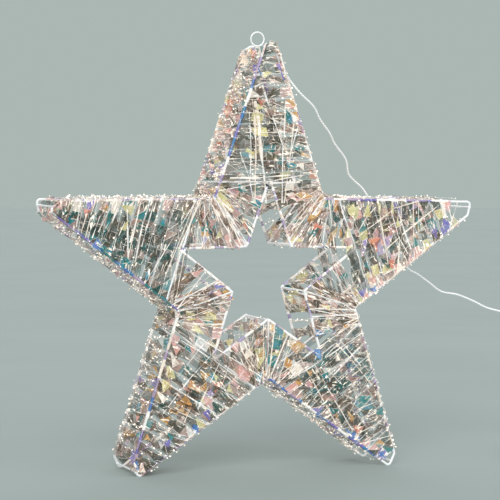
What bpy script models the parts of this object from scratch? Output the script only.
"""Lit star: two star outlines of rod welded into a box frame, wound with clear film and lamp wire.

Run with blender --background --python part.py, or from the text editor.
Metres, +Z up. The star's face looks towards -Y. The origin lies on the surface that it stands on,
under the middle of the frame.
"""

import math

import bmesh
import bpy
import numpy as np
from mathutils import Vector

# Star frame, measured between the middles of its rods
TIP_REACH = 0.290
TIP_WIDTH = 0.0154
TIP_SLANT = 0.0090
NOTCH_REACH = 0.1230
STRUT_REACH = 0.1200
LOBE_REACH = 0.0505
FRAME_DEPTH = 0.0790

# Rods of the frame
OUTLINE_ROD = 0.0030
STRUT_ROD = 0.0025
SPOKE_ROD = 0.0025
SPACER_ROD = 0.0025
OUTLINE_BEND = 0.0040
HOLE_BEND = 0.0040
FOOT_FLAT_DEPTH = 0.0004
SEAT_GAP = 0.0003

# Hanging ring, outside diameter and rod
RING_DIAMETER = 0.0198
RING_ROD = 0.0020
RING_LEAN = math.radians(28)

# Clear film and lamp wire that go round the frame
FILM_WIDTH = 0.0090
FILM_THICKNESS = 0.0005
WIRE_DIAMETER = 0.0010
WOUND_BELOW_TIP = 0.0250
WOUND_ABOVE_NOTCH = 0.0265
ARM_LOOPS = 8
VALLEY_LOOPS = 4
WIRE_OFFSET_SHARE = 0.5
FILM_GATHER_SHARE = 0.5
INNER_SPAN_SHARES = (-0.8, 0.8)
OUTER_SPAN_SHARES = (-0.93, 0.58)
CHAMFER_SHARE = math.tan(math.pi / 8)

# Lead: sleeve at the star, free stretch, coil and its tie
CORD_DIAMETER = 0.0024
SLEEVE_DIAMETER = 0.0034
SLEEVE_LENGTH = 0.0110
SLEEVE_BELOW_TIP = 0.0090
SLEEVE_LIP = 0.0004
CORD_SPACING = 0.0105
COIL_CENTRE = (0.410, 0.045)
COIL_MEAN_RADIUS = 0.0145
COIL_PITCH = 0.0032
COIL_LAYERS = 4
COIL_TURNS = 12.25
COIL_CLIMB_TURNS = 0.5
COIL_TAIL = 0.026
COIL_TAIL_CLIMB_SHARE = 0.83
TIE_WIDTH = 0.0045
TIE_THICKNESS = 0.0006
TIE_TURN = math.radians(300)

# Plug-in adapter that the lead ends in
ADAPTER_LENGTH = 0.056
ADAPTER_WIDTH = 0.040
ADAPTER_HEIGHT = 0.028
ADAPTER_BASE_LENGTH = 0.014
ADAPTER_CORNER = 0.0045
ADAPTER_TAPER_SHARE = 0.86
GRIP_COUNT = 5
GRIP_WIDTH = 0.0016
GRIP_DEPTH = 0.0009
GRIP_SPACING = 0.0034
GRIP_HEIGHT = 0.016
PIN_DIAMETER = 0.0040
PIN_SLEEVE_DIAMETER = 0.0037
PIN_LENGTH = 0.0190
PIN_SLEEVE_LENGTH = 0.0100
PIN_SEAT_DEPTH = 0.0050
PIN_SPACING = 0.0186
PIN_ROUNDING = 0.0012
RELIEF_LENGTH = 0.020
RELIEF_ROOT = 0.0076
RELIEF_END = 0.0038
RELIEF_RIBS = 5
RELIEF_GROOVE = 0.0006

# Finishes: colour, metallic value, roughness
SILVER_ROD = ((0.82, 0.83, 0.85), 1.0, 0.25)
CLEAR_FILM = ((0.72, 0.82, 0.86), 0.0, 0.08)
LAMP_WIRE = ((0.86, 0.85, 0.83), 1.0, 0.30)
CLEAR_SLEEVE = ((0.88, 0.89, 0.88), 0.0, 0.15)
CLEAR_CORD = ((0.80, 0.81, 0.80), 0.0, 0.20)
WHITE_PLASTIC = ((0.85, 0.85, 0.84), 0.0, 0.40)
PIN_METAL = ((0.78, 0.77, 0.74), 1.0, 0.25)

# Facets
ROD_RESOLUTION = 2
CORD_RESOLUTION = 2
COIL_RESOLUTION = 1
WIRE_RESOLUTION = 0
BEND_STEPS = 3
RING_STEPS = 24
TURNED_STEPS = 16
COIL_LOOP_POINTS = 18
CORNER_SEGMENTS = 2

ARMS = ("top", "upper_left", "lower_left", "lower_right", "upper_right")
VALLEYS = ("top_left", "left", "bottom", "right", "top_right")
ARM_STEP = 2 * math.pi / len(ARMS)

# Which bend of each blunt tip of the front outline reaches further: 1 for the anticlockwise one.
# The back outline is the same outline turned round.
FRONT_SLANTS = (1, 1, 1, -1, 1)

# Free stretch of the lead, from beside the top tip, behind the upper right arm, to the coil
CORD_ROUTE = (
    (0.0150, -0.0338, 0.5035),
    (0.0232, -0.0315, 0.4965),
    (0.0330, -0.0295, 0.4850),
    (0.0457, -0.0270, 0.4726),
    (0.0670, -0.0180, 0.4571),
    (0.0800, -0.0080, 0.4412),
    (0.0979, 0.0030, 0.4244),
    (0.1085, 0.0120, 0.4112),
    (0.1300, 0.0250, 0.3909),
    (0.1382, 0.0360, 0.3732),
    (0.1497, 0.0440, 0.3638),
    (0.1682, 0.0520, 0.3502),
    (0.1885, 0.0580, 0.3204),
    (0.2107, 0.0610, 0.2805),
    (0.2369, 0.0630, 0.2476),
    (0.2527, 0.0640, 0.2388),
    (0.2723, 0.0650, 0.2257),
    (0.2894, 0.0660, 0.2146),
    (0.3138, 0.0670, 0.2101),
    (0.3383, 0.0680, 0.2010),
    (0.3582, 0.0690, 0.1919),
    (0.3786, 0.0700, 0.1866),
    (0.4020, 0.0715, 0.1815),
    (0.4240, 0.0730, 0.1590),
    (0.4370, 0.0735, 0.1240),
    (0.4430, 0.0725, 0.0820),
    (0.4445, 0.0700, 0.0440),
    (0.4400, 0.0670, 0.0160),
    (0.4300, 0.0650, 0.0045),
)


def clear_scene():
    for old in list(bpy.data.objects):
        bpy.data.objects.remove(old, do_unlink=True)


def finish(name, look):
    """Principled material with one colour, metallic value and roughness."""
    colour, metallic, roughness = look
    made = bpy.data.materials.new(name)
    made.use_nodes = True
    shader = made.node_tree.nodes["Principled BSDF"]
    shader.inputs["Base Color"].default_value = (*colour, 1.0)
    shader.inputs["Metallic"].default_value = metallic
    shader.inputs["Roughness"].default_value = roughness
    return made


def add_object(name, data, look, parent):
    made = bpy.data.objects.new(name, data)
    data.materials.append(finish(name + "_finish", look))
    bpy.context.scene.collection.objects.link(made)
    made.parent = parent
    return made


def tube(name, points, diameter, look, parent, resolution=ROD_RESOLUTION, closed=False, swell=None):
    """Round bar along the points: a bevelled curve, with filled caps unless it closes on itself."""
    curve = bpy.data.curves.new(name, "CURVE")
    curve.dimensions = "3D"
    curve.bevel_depth = diameter / 2
    curve.bevel_resolution = resolution
    curve.use_fill_caps = not closed
    spline = curve.splines.new("POLY")
    spline.points.add(len(points) - 1)
    for i, point in enumerate(points):
        spline.points[i].co = (*point, 1.0)
        spline.points[i].radius = swell[i] if swell else 1.0
    spline.use_cyclic_u = closed
    spline.use_smooth = resolution > WIRE_RESOLUTION
    return add_object(name, curve, look, parent)


def mesh_object(name, shape, look, parent, sharp_angle=math.radians(35)):
    """Object from a bmesh, with normals pointing outwards and round parts shaded smooth."""
    bmesh.ops.recalc_face_normals(shape, faces=shape.faces)
    mesh = bpy.data.meshes.new(name)
    shape.to_mesh(mesh)
    shape.free()
    mesh.shade_smooth()
    mesh.set_sharp_from_angle(angle=sharp_angle)
    return add_object(name, mesh, look, parent)


def turned(profile, steps=TURNED_STEPS):
    """Solid turned about +X from (x, radius) pairs that start and end on the axis."""
    shape = bmesh.new()
    chain = [shape.verts.new((x, radius, 0.0)) for x, radius in profile]
    edges = [shape.edges.new(pair) for pair in zip(chain, chain[1:])]
    bmesh.ops.spin(
        shape,
        geom=chain + edges,
        axis=(1.0, 0.0, 0.0),
        cent=(0.0, 0.0, 0.0),
        angle=2 * math.pi,
        steps=steps,
        use_merge=True,
    )
    bmesh.ops.remove_doubles(shape, verts=shape.verts, dist=SEAT_GAP / 10)
    return shape


def direction(angle):
    return Vector((math.cos(angle), math.sin(angle)))


def arm_axes(arm):
    """Outward direction of an arm, and the anticlockwise direction across it, in the star's plane."""
    angle = math.pi / 2 + arm * ARM_STEP
    return direction(angle), direction(angle + math.pi / 2)


def valley_axes(valley):
    """The same for the valley that follows the arm of that number anticlockwise."""
    angle = math.pi / 2 + (valley + 0.5) * ARM_STEP
    return direction(angle), direction(angle + math.pi / 2)


def edge_taper():
    """How much an arm's half width shrinks for each metre outwards."""
    notch = NOTCH_REACH * direction(ARM_STEP / 2)
    return (notch.y - TIP_WIDTH / 2) / (TIP_REACH - notch.x)


EDGE_TAPER = edge_taper()
EDGE_ANGLE = math.atan(EDGE_TAPER)


def half_width(reach):
    """Half the width of an arm, middle to middle of its edge rods, at a distance from the centre."""
    return TIP_WIDTH / 2 + (TIP_REACH - reach) * EDGE_TAPER


def hole_tip_corner():
    """Where two edges of the hole would meet if the bend that seats under the strut were sharp."""
    apex = STRUT_REACH - (STRUT_ROD + OUTLINE_ROD) / 2 - SEAT_GAP
    bend_centre = apex - HOLE_BEND
    lobe = LOBE_REACH * direction(ARM_STEP / 2)
    span = math.hypot(bend_centre - lobe.x, lobe.y)
    slope = math.atan2(lobe.y, bend_centre - lobe.x) - math.asin(HOLE_BEND / span)
    return lobe.x + lobe.y / math.tan(slope), slope


HOLE_TIP_REACH, HOLE_ANGLE = hole_tip_corner()
NOTCH_HALF_ANGLE = ARM_STEP / 2 + EDGE_ANGLE
LOBE_HALF_ANGLE = ARM_STEP / 2 + HOLE_ANGLE


def bend_setback(bend, half_angle):
    """Distance from a sharp corner to the middle of the bend that rounds it."""
    return bend * (1 / math.sin(half_angle) - 1)


def seat_in_bend(bend):
    """How far a spoke's flat end stays from the middle of a rod whose bend goes round it."""
    inner_radius = bend - OUTLINE_ROD / 2 - SEAT_GAP
    return bend - math.sqrt(inner_radius**2 - (SPOKE_ROD / 2) ** 2)


NOTCH_APEX = NOTCH_REACH + bend_setback(OUTLINE_BEND, NOTCH_HALF_ANGLE)
LOBE_APEX = LOBE_REACH + bend_setback(HOLE_BEND, LOBE_HALF_ANGLE)
TIP_APEX = TIP_REACH + EDGE_TAPER * (TIP_SLANT / 2) ** 2 / (TIP_WIDTH / 2)


def bend_middle(corners, i, bend):
    """Centre of the bend that rounds a corner, its setback, and the directions to its neighbours."""
    corner = corners[i]
    before = (corners[i - 1] - corner).normalized()
    after = (corners[(i + 1) % len(corners)] - corner).normalized()
    half = before.angle(after) / 2
    middle = corner + (before + after).normalized() * (bend / math.sin(half))
    return middle, bend / math.tan(half), before, after


def rounded(corners, bend):
    """Closed path through the corners, each rounded to the bend radius."""
    path = []
    for i, corner in enumerate(corners):
        middle, setback, before, after = bend_middle(corners, i, bend)
        start = corner + before * setback - middle
        end = corner + after * setback - middle
        for step in range(BEND_STEPS + 1):
            share = step / BEND_STEPS
            turn = start.angle(end)
            mixed = start * math.sin((1 - share) * turn) + end * math.sin(share * turn)
            path.append(middle + mixed / math.sin(turn))
    return path


def front_outline_corners():
    corners = []
    for arm in range(len(ARMS)):
        along, across = arm_axes(arm)
        slant = FRONT_SLANTS[arm] * TIP_SLANT / 2
        for side in (-1, 1):
            reach = TIP_REACH + side * slant
            corners.append(along * reach + across * side * half_width(reach))
        corners.append(valley_axes(arm)[0] * NOTCH_REACH)
    return corners


def hole_path():
    corners = []
    for arm in range(len(ARMS)):
        corners.append(arm_axes(arm)[0] * HOLE_TIP_REACH)
        corners.append(valley_axes(arm)[0] * LOBE_REACH)
    return rounded(corners, HOLE_BEND)


OUTLINE_CORNERS = front_outline_corners()
OUTLINE_PATH = rounded(OUTLINE_CORNERS, OUTLINE_BEND)
CENTRE_HEIGHT = OUTLINE_ROD / 2 - FOOT_FLAT_DEPTH - min(point.y for point in OUTLINE_PATH)


def place(flat, depth):
    """Point of the star's plane, put at a depth behind the middle of the frame."""
    return Vector((flat.x, depth, flat.y + CENTRE_HEIGHT))


def add_outline(name, side, parent):
    """Outer outline, ground flat where its two lower tips stand."""
    points = [place(Vector((-side * p.x, p.y)), side * FRAME_DEPTH / 2) for p in OUTLINE_PATH]
    curve = tube(name + "_guide", points, OUTLINE_ROD, SILVER_ROD, None, closed=True)
    bpy.context.view_layer.update()
    solved = curve.evaluated_get(bpy.context.evaluated_depsgraph_get())
    shape = bmesh.new()
    shape.from_mesh(solved.to_mesh())
    bpy.data.objects.remove(curve, do_unlink=True)
    bmesh.ops.remove_doubles(shape, verts=shape.verts, dist=SEAT_GAP / 10)
    everything = shape.verts[:] + shape.edges[:] + shape.faces[:]
    bmesh.ops.bisect_plane(
        shape, geom=everything, plane_co=(0.0, 0.0, 0.0), plane_no=(0.0, 0.0, -1.0), clear_outer=True
    )
    open_edges = [edge for edge in shape.edges if edge.is_boundary]
    bmesh.ops.edgeloop_fill(shape, edges=open_edges)
    return mesh_object(name, shape, SILVER_ROD, parent)


def add_rods(parent):
    """Struts, spokes and spacers, each ending just clear of the rods that it is welded to."""
    butt = OUTLINE_ROD / 2 + SEAT_GAP
    slanted_butt = (butt + STRUT_ROD / 2 * math.sin(EDGE_ANGLE)) / math.cos(EDGE_ANGLE)
    strut_half = half_width(STRUT_REACH) - slanted_butt
    for layer, side in (("front", -1), ("back", 1)):
        depth = side * FRAME_DEPTH / 2
        for arm, arm_name in enumerate(ARMS):
            along, across = arm_axes(arm)
            ends = [place(along * STRUT_REACH + across * s * strut_half, depth) for s in (-1, 1)]
            tube(f"{layer}_strut_{arm_name}", ends, STRUT_ROD, SILVER_ROD, parent)
        for valley, valley_name in enumerate(VALLEYS):
            along = valley_axes(valley)[0]
            reaches = (LOBE_APEX + seat_in_bend(HOLE_BEND), NOTCH_APEX - butt)
            ends = [place(along * reach, depth) for reach in reaches]
            tube(f"{layer}_spoke_{valley_name}", ends, SPOKE_ROD, SILVER_ROD, parent)
    spacer_half = FRAME_DEPTH / 2 - butt
    for i in range(len(ARMS)):
        spots = {
            f"tip_spacer_{ARMS[i]}": arm_axes(i)[0] * TIP_APEX,
            f"notch_spacer_{VALLEYS[i]}": valley_axes(i)[0] * NOTCH_APEX,
            f"lobe_spacer_{VALLEYS[i]}": valley_axes(i)[0] * LOBE_APEX,
        }
        for name, spot in spots.items():
            ends = [place(spot, side * spacer_half) for side in (-1, 1)]
            tube(name, ends, SPACER_ROD, SILVER_ROD, parent)


def add_ring(parent):
    """Hanging ring, in the plane of the back outline, on the higher bend of its top tip."""
    radius = (RING_DIAMETER - RING_ROD) / 2
    away = OUTLINE_BEND + OUTLINE_ROD / 2 + SEAT_GAP + RING_DIAMETER / 2
    bend = bend_middle(OUTLINE_CORNERS, 1, OUTLINE_BEND)[0]
    middle = Vector((-bend.x, bend.y)) + direction(math.pi / 2 - RING_LEAN) * away
    turns = [2 * math.pi * i / RING_STEPS for i in range(RING_STEPS)]
    points = [place(middle + direction(turn) * radius, FRAME_DEPTH / 2) for turn in turns]
    tube("hanging_ring", points, RING_ROD, SILVER_ROD, parent, closed=True)


HOLE_EDGE = (HOLE_TIP_REACH * direction(ARM_STEP / 2) - Vector((LOBE_REACH, 0.0))).length
NOTCH_EDGE = WOUND_ABOVE_NOTCH / math.cos(EDGE_ANGLE)


def arm_corner(arm, side, reach, offset):
    """Point beside an arm's edge rod, an offset outside its middle."""
    along, across = arm_axes(arm)
    out = half_width(reach) + offset / math.cos(EDGE_ANGLE)
    return along * reach + across * side * out


def beside_bend(reach, half_angle, bend, offset, travel):
    """Point along a rounded corner of the frame, in outward and anticlockwise lengths.

    The corner lies at a reach, its edges leave at the half angle from the outward direction, and
    the point is set off from the rod's middle, outwards if the offset is positive. The travel is
    measured along the rod from the corner's middle.
    """
    middle = reach + bend / math.sin(half_angle)
    turn = math.pi / 2 - half_angle
    radius = bend - offset
    swept = min(abs(travel) / bend, turn)
    beyond = abs(travel) - swept * bend
    outward = middle - radius * math.cos(swept) + beyond * math.cos(half_angle)
    across = radius * math.sin(swept) + beyond * math.sin(half_angle)
    return outward, math.copysign(across, travel)


def valley_corner(valley, share, offset, inner, slide):
    """Point beside the two rods that meet in a valley: at its notch, or at its lobe in the hole.

    The share runs from -1 at the arm before the valley to 1 at the arm after it.
    """
    along, across = valley_axes(valley)
    if inner:
        travel = share * HOLE_EDGE + slide
        spot = beside_bend(LOBE_REACH, LOBE_HALF_ANGLE, HOLE_BEND, -offset, travel)
    else:
        travel = share * NOTCH_EDGE + slide
        spot = beside_bend(NOTCH_REACH, NOTCH_HALF_ANGLE, OUTLINE_BEND, offset, travel)
    return along * spot[0] + across * spot[1]


def winding_stations(arm, shift):
    """Where a winding passes the rods of one arm and of the valley after it, in order.

    Each station is (kind, side of the frame, position): an arm's position is its reach on one edge,
    a valley's is a share. The shift, in loops, sets the film and the wire side by side.
    """
    start = TIP_REACH - WOUND_BELOW_TIP
    end = NOTCH_REACH * math.cos(ARM_STEP / 2) + WOUND_ABOVE_NOTCH
    pitch = (start - end) / (ARM_LOOPS + 0.5 + WIRE_OFFSET_SHARE)
    stations = []
    corners = ((-1, -1), (1, -1), (1, 1), (-1, 1))
    for i in range(4 * ARM_LOOPS + 3):
        edge, layer = corners[i % 4]
        stations.append(("arm", edge, layer, start - pitch * (i / 4 + shift)))
    for loop in range(VALLEY_LOOPS):
        steps = (("inner", 1, 0.25), ("inner", -1, 0.5), ("outer", -1, 0.75), ("outer", 1, 1.0))
        for kind, layer, fraction in steps:
            low, high = INNER_SPAN_SHARES if kind == "inner" else OUTER_SPAN_SHARES
            share = low + (high - low) * (loop + fraction + shift) / VALLEY_LOOPS
            stations.append((kind, 0, layer, share))
    return stations


def station_point(arm, station, offset, slide=0.0):
    """Point of a station in the star's plane, an offset outside the rod, slid along the rod."""
    kind, edge, _, position = station
    if kind == "arm":
        return arm_corner(arm, edge, position - slide * math.cos(EDGE_ANGLE), offset)
    return valley_corner(arm, position, offset, kind == "inner", slide)


def film_strip(arm):
    """Pairs of points, one for each edge of the film, at every fold round a rod."""
    offset = OUTLINE_ROD / 2 + SEAT_GAP
    pairs = []
    for station in winding_stations(arm, 0.0):
        depth = station[2] * (FRAME_DEPTH / 2 + offset)
        width = FILM_WIDTH * (FILM_GATHER_SHARE if station[0] == "outer" else 1.0)
        pairs.append([place(station_point(arm, station, offset, s * width / 2), depth) for s in (-1, 1)])
    return pairs


def add_film(arm, parent):
    """Film round one arm and the valley after it: a folded strip with a little thickness."""
    shape = bmesh.new()
    rows = [[shape.verts.new(point) for point in pair] for pair in film_strip(arm)]
    for (a, b), (c, d) in zip(rows, rows[1:]):
        shape.faces.new((a, c, d, b))
    mesh = bpy.data.meshes.new(f"film_{ARMS[arm]}")
    shape.to_mesh(mesh)
    shape.free()
    made = add_object(f"film_{ARMS[arm]}", mesh, CLEAR_FILM, parent)
    wall = made.modifiers.new("thickness", "SOLIDIFY")
    wall.thickness = FILM_THICKNESS
    wall.offset = 1.0
    wall.use_even_offset = True


def wire_points(arm):
    """Lamp wire round one arm and the valley after it, with a chamfered turn at each rod."""
    offset = OUTLINE_ROD / 2 + SEAT_GAP + WIRE_DIAMETER / 2
    near = offset * CHAMFER_SHARE
    points = []
    before = 1
    for station in winding_stations(arm, WIRE_OFFSET_SHARE):
        layer = station[2]
        beside = place(station_point(arm, station, offset), layer * (FRAME_DEPTH / 2 + near))
        over = place(station_point(arm, station, near), layer * (FRAME_DEPTH / 2 + offset))
        points.extend((over, beside) if before == layer else (beside, over))
        before = layer
    return points


def smooth_path(route, spacing):
    """Points at an even spacing along a smooth curve through the route's inner points."""
    dense = []
    for p0, p1, p2, p3 in zip(route, route[1:], route[2:], route[3:]):
        steps = max(2, round(4 * (p2 - p1).length / spacing))
        for step in range(steps):
            t = step / steps
            bend = 2 * p0 - 5 * p1 + 4 * p2 - p3
            twist = 3 * p1 - p0 - 3 * p2 + p3
            dense.append(p1 + (p2 - p0) * (t / 2) + bend * (t * t / 2) + twist * (t**3 / 2))
    dense.append(route[-2])
    travelled = [0.0]
    for start, end in zip(dense, dense[1:]):
        travelled.append(travelled[-1] + (end - start).length)
    count = round(travelled[-1] / spacing)
    wanted = [travelled[-1] * i / count for i in range(count + 1)]
    axes = [np.interp(wanted, travelled, [point[axis] for point in dense]) for axis in range(3)]
    return [Vector(point) for point in zip(*axes)]


def least_gap(strands, width, skip):
    """Smallest gap between passes of a winding, given as its middle line or as its two edges.

    Points that lie closer along the winding than the skip aren't compared.
    """
    places = []
    for strand in strands:
        dense = [strand[0]]
        for i in range(len(strand) - 1):
            parts = max(1, round((strands[0][i + 1] - strands[0][i]).length / WIRE_DIAMETER))
            dense.extend(strand[i].lerp(strand[i + 1], (k + 1) / parts) for k in range(parts))
        places.append(np.array([tuple(point) for point in dense]))
    steps = np.linalg.norm(np.diff(places[0], axis=0), axis=1)
    travelled = np.concatenate(([0.0], np.cumsum(steps)))
    least = math.inf
    for line in places:
        for i, here in enumerate(line):
            apart = travelled > travelled[i] + skip
            for others in places:
                if apart.any():
                    least = min(least, np.linalg.norm(others[apart] - here, axis=1).min())
    return least - width


def say_gap(name, strands, width, skip):
    print(f"{name}: least gap to itself {1000 * least_gap(strands, width, skip):.2f} mm")


def add_windings(parent):
    for arm, name in enumerate(ARMS):
        add_film(arm, parent)
        say_gap(f"film_{name}", list(zip(*film_strip(arm))), 0.0, 2 * FILM_WIDTH)
        points = wire_points(arm)
        tube(f"lamp_wire_{name}", points, WIRE_DIAMETER, LAMP_WIRE, parent, WIRE_RESOLUTION)
        say_gap(f"lamp_wire_{name}", [points], WIRE_DIAMETER, 2 * TIP_WIDTH)


def add_sleeve(parent):
    """Sleeve beside the front rod on the right of the top tip. Returns its lower end and direction."""
    along, across = arm_axes(0)
    inward = -(OUTLINE_ROD / 2 + SEAT_GAP + SLEEVE_DIAMETER / 2)
    ends = []
    for below in (SLEEVE_BELOW_TIP, SLEEVE_BELOW_TIP + SLEEVE_LENGTH):
        ends.append(place(arm_corner(0, -1, TIP_REACH - below, inward), -FRAME_DEPTH / 2))
    run = (ends[1] - ends[0]).normalized()
    body, lip = SLEEVE_DIAMETER / 2, SLEEVE_DIAMETER / 2 - SLEEVE_LIP
    length = (ends[1] - ends[0]).length
    shoulder = 2 * SLEEVE_LIP
    profile = [(0.0, 0.0), (0.0, lip), (shoulder, body)]
    profile += [(length - shoulder, body), (length, lip), (length, 0.0)]
    made = mesh_object("lead_joint_sleeve", turned(profile), CLEAR_SLEEVE, parent)
    made.location = ends[0]
    made.rotation_mode = "QUATERNION"
    made.rotation_quaternion = Vector((1.0, 0.0, 0.0)).rotation_difference(run)
    return ends[1], run


COIL_OUTER = COIL_MEAN_RADIUS + COIL_TURNS / COIL_LAYERS * COIL_PITCH / 2
COIL_BOTTOM = TIE_THICKNESS + 2 * SEAT_GAP + CORD_DIAMETER / 2
ADAPTER_MIDDLE_HEIGHT = ADAPTER_HEIGHT / 2


def coil_point(turns):
    """Point of the coil after a number of turns: in and out at a steady rate, layer by layer."""
    leg_turns = COIL_TURNS / COIL_LAYERS
    leg = min(int(turns / leg_turns), COIL_LAYERS - 1)
    into_leg = turns - leg * leg_turns
    inset = into_leg if leg % 2 == 0 else leg_turns - into_leg
    radius = COIL_OUTER - inset * COIL_PITCH
    climbed = 0.0
    for reversal in range(1, COIL_LAYERS):
        passed = turns - reversal * leg_turns + COIL_CLIMB_TURNS / 2
        climbed += min(max(passed / COIL_CLIMB_TURNS, 0.0), 1.0)
    flat = direction(math.pi / 2 + 2 * math.pi * turns) * radius + Vector(COIL_CENTRE)
    return Vector((flat.x, flat.y, COIL_BOTTOM + climbed * COIL_PITCH))


def add_coil(parent):
    """Coil of the lead, tied, with straight ends. Returns where it starts and where it ends."""
    count = round(COIL_TURNS * COIL_LOOP_POINTS)
    wound = [coil_point(COIL_TURNS * i / count) for i in range(count + 1)]
    start = wound[0] + Vector((2 * CORD_DIAMETER, 0.0, 0.0))
    last = wound[-1]
    rise = ADAPTER_MIDDLE_HEIGHT - last.z
    tail = []
    steps = round(COIL_TAIL / CORD_DIAMETER / 2)
    for i in range(1, steps + 1):
        share = i / steps
        eased = min(share / COIL_TAIL_CLIMB_SHARE, 1.0)
        climb = rise * eased * eased * (3 - 2 * eased)
        tail.append(last + Vector((0.0, -COIL_TAIL * share, climb)))
    points = [start] + wound + tail
    tube("lead_coil", points, CORD_DIAMETER, CLEAR_CORD, parent, COIL_RESOLUTION)
    say_gap("lead_coil", [points], CORD_DIAMETER, 4 * CORD_DIAMETER)
    return start, tail[-1]


def add_tie(parent):
    """Strap round the coil's section, with rounded corners."""
    clear = CORD_DIAMETER / 2 + SEAT_GAP
    legs = COIL_TURNS / COIL_LAYERS
    half_width = legs * COIL_PITCH / 2 + clear
    height = (COIL_LAYERS - 1) * COIL_PITCH + 2 * clear
    bend = clear
    out = direction(TIE_TURN)
    centre = Vector(COIL_CENTRE) + out * COIL_MEAN_RADIUS
    middle_height = COIL_BOTTOM - clear + height / 2
    shape = bmesh.new()
    rows = []
    for side in (-1, 1):
        for extra in (0.0, TIE_THICKNESS):
            row = []
            for quarter in range(4):
                sign_x = (1, -1, -1, 1)[quarter]
                sign_z = (1, 1, -1, -1)[quarter]
                for step in range(BEND_STEPS + 1):
                    turn = math.pi / 2 * (quarter + step / BEND_STEPS)
                    x = sign_x * (half_width - bend) + math.cos(turn) * (bend + extra)
                    z = sign_z * (height / 2 - bend) + math.sin(turn) * (bend + extra)
                    flat = centre + out * x + Vector((-out.y, out.x)) * (side * TIE_WIDTH / 2)
                    row.append(shape.verts.new((flat.x, flat.y, middle_height + z)))
            rows.append(row)
    around = [rows[0], rows[2], rows[3], rows[1]]
    for first, second in zip(around, around[1:] + around[:1]):
        for i, vertex in enumerate(first):
            following = (i + 1) % len(first)
            shape.faces.new((vertex, first[following], second[following], second[i]))
    mesh_object("coil_tie", shape, WHITE_PLASTIC, parent)


def add_cord(start, run, end, parent):
    """Free stretch of the lead, from the sleeve's end to the coil's."""
    first = start + run * SEAT_GAP
    last = end + Vector((SEAT_GAP, 0.0, 0.0))
    straight = Vector((CORD_DIAMETER, 0.0, 0.0))
    route = [first, first + run * CORD_DIAMETER]
    route += [Vector(point) for point in CORD_ROUTE]
    route += [last + straight, last]
    points = [first] + smooth_path(route, CORD_SPACING) + [last]
    tube("lead_cord", points, CORD_DIAMETER, CLEAR_CORD, parent, CORD_RESOLUTION)


def box(length, width, height):
    shape = bmesh.new()
    bmesh.ops.create_cube(shape, size=1.0)
    bmesh.ops.scale(shape, vec=(length, width, height), verts=shape.verts)
    return shape


def add_cutter(name, shape, target, location):
    """Hidden solid that is cut out of its target."""
    bmesh.ops.recalc_face_normals(shape, faces=shape.faces)
    mesh = bpy.data.meshes.new(name)
    shape.to_mesh(mesh)
    shape.free()
    cutter = bpy.data.objects.new(name, mesh)
    bpy.context.scene.collection.objects.link(cutter)
    cutter.parent = target
    cutter.location = location
    cutter.hide_render = True
    cutter.display_type = "WIRE"
    cut = target.modifiers.new(name, "BOOLEAN")
    cut.operation = "DIFFERENCE"
    cut.object = cutter


def rounded_case(length, width, height, end_share):
    """Case half along +X from its seam, with rounded edges, tapering to the end share."""
    shape = box(length, width, height)
    for vertex in shape.verts:
        vertex.co.x += length / 2
        if vertex.co.x > length / 2:
            vertex.co.y *= end_share
            vertex.co.z *= end_share
    seam = [edge for edge in shape.edges if max(v.co.x for v in edge.verts) < length / 2]
    soft = [edge for edge in shape.edges if edge not in seam]
    bmesh.ops.bevel(
        shape, geom=soft, offset=ADAPTER_CORNER, segments=CORNER_SEGMENTS, profile=0.5, affect="EDGES"
    )
    return shape


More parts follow.
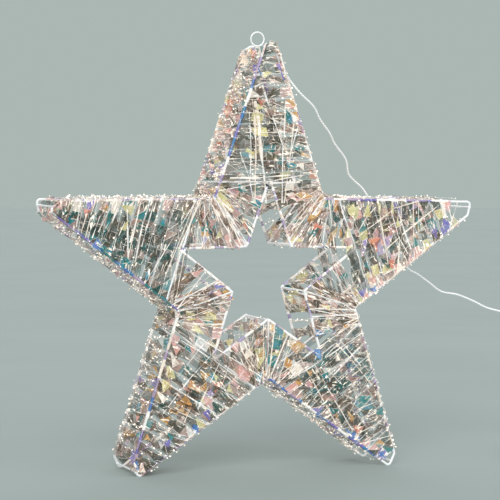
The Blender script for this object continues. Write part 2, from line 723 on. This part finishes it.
def add_adapter(cord_end, parent):
    """Plug-in adapter that lies on its side, its cord end towards the coil."""
    adapter = bpy.data.objects.new("adapter", None)
    bpy.context.scene.collection.objects.link(adapter)
    adapter.parent = parent
    seam = RELIEF_LENGTH + 2 * SEAT_GAP + ADAPTER_LENGTH - ADAPTER_BASE_LENGTH
    adapter.location = cord_end + Vector((0.0, -SEAT_GAP, 0.0))
    adapter.rotation_euler = (0.0, 0.0, -math.pi / 2)

    cover_length = ADAPTER_LENGTH - ADAPTER_BASE_LENGTH
    cover = mesh_object(
        "adapter_cover",
        rounded_case(cover_length, ADAPTER_WIDTH, ADAPTER_HEIGHT, ADAPTER_TAPER_SHARE),
        WHITE_PLASTIC,
        adapter,
    )
    cover.location = (seam, 0.0, 0.0)
    cover.rotation_euler = (0.0, 0.0, math.pi)
    for side in (-1, 1):
        for i in range(GRIP_COUNT):
            middle = cover_length / 2 + (i - (GRIP_COUNT - 1) / 2) * GRIP_SPACING
            narrowed = 1 - (1 - ADAPTER_TAPER_SHARE) * middle / cover_length
            grip = box(GRIP_WIDTH, 2 * GRIP_DEPTH, GRIP_HEIGHT)
            spot = (middle, side * ADAPTER_WIDTH / 2 * narrowed, 0.0)
            add_cutter(f"grip_{i}_{side}", grip, cover, spot)

    base = mesh_object(
        "adapter_base",
        rounded_case(ADAPTER_BASE_LENGTH, ADAPTER_WIDTH, ADAPTER_HEIGHT, 1.0),
        WHITE_PLASTIC,
        adapter,
    )
    base.location = (seam + SEAT_GAP, 0.0, 0.0)
    for side, side_name in ((-1, "right"), (1, "left")):
        face = ADAPTER_BASE_LENGTH
        spot = (face - PIN_SEAT_DEPTH, side * PIN_SPACING / 2, 0.0)
        bore = PIN_SLEEVE_DIAMETER / 2 + SEAT_GAP
        overrun = PIN_SEAT_DEPTH + PIN_ROUNDING
        hole = turned(((0.0, 0.0), (0.0, bore), (overrun, bore), (overrun, 0.0)))
        add_cutter(f"pin_bore_{side_name}", hole, base, spot)
        pin = mesh_object(f"pin_{side_name}", turned(pin_profile()), PIN_METAL, adapter)
        pin.location = (base.location.x + spot[0] + SEAT_GAP, spot[1], 0.0)

    mesh_object("lead_relief", turned(relief_profile()), WHITE_PLASTIC, adapter)


def pin_profile():
    """Pin from the bottom of its bore: sleeved root, bare end with a rounded nose."""
    root = PIN_SLEEVE_DIAMETER / 2
    bare = PIN_DIAMETER / 2
    seated = PIN_SEAT_DEPTH - SEAT_GAP
    step = seated + PIN_SLEEVE_LENGTH
    end = seated + PIN_LENGTH
    nose = [(0.0, 0.0), (0.0, root), (step, root), (step, bare)]
    for i in range(CORNER_SEGMENTS + 1):
        turn = math.pi / 2 * i / CORNER_SEGMENTS
        x = end - PIN_ROUNDING + PIN_ROUNDING * math.sin(turn)
        nose.append((x, bare - PIN_ROUNDING + PIN_ROUNDING * math.cos(turn)))
    return nose + [(end, 0.0)]


def relief_profile():
    """Cone with grooves between its ribs, thin end at zero."""
    profile = [(0.0, 0.0)]
    rib = RELIEF_LENGTH / (2 * RELIEF_RIBS)
    for i in range(2 * RELIEF_RIBS):
        for x in (i * rib, (i + 1) * rib):
            radius = (RELIEF_END + (RELIEF_ROOT - RELIEF_END) * x / RELIEF_LENGTH) / 2
            profile.append((x, radius - (RELIEF_GROOVE if i % 2 else 0.0)))
    return profile + [(RELIEF_LENGTH, 0.0)]


def build():
    clear_scene()
    star = bpy.data.objects.new("star", None)
    bpy.context.scene.collection.objects.link(star)
    add_outline("front_outline", -1, star)
    add_outline("back_outline", 1, star)
    for layer, side in (("front", -1), ("back", 1)):
        points = [place(point, side * FRAME_DEPTH / 2) for point in hole_path()]
        tube(f"{layer}_hole_outline", points, OUTLINE_ROD, SILVER_ROD, star, closed=True)
    add_rods(star)
    add_ring(star)
    add_windings(star)
    sleeve_end, run = add_sleeve(star)
    coil_start, coil_end = add_coil(star)
    add_tie(star)
    add_cord(sleeve_end, run, coil_start, star)
    add_adapter(coil_end, star)


build()
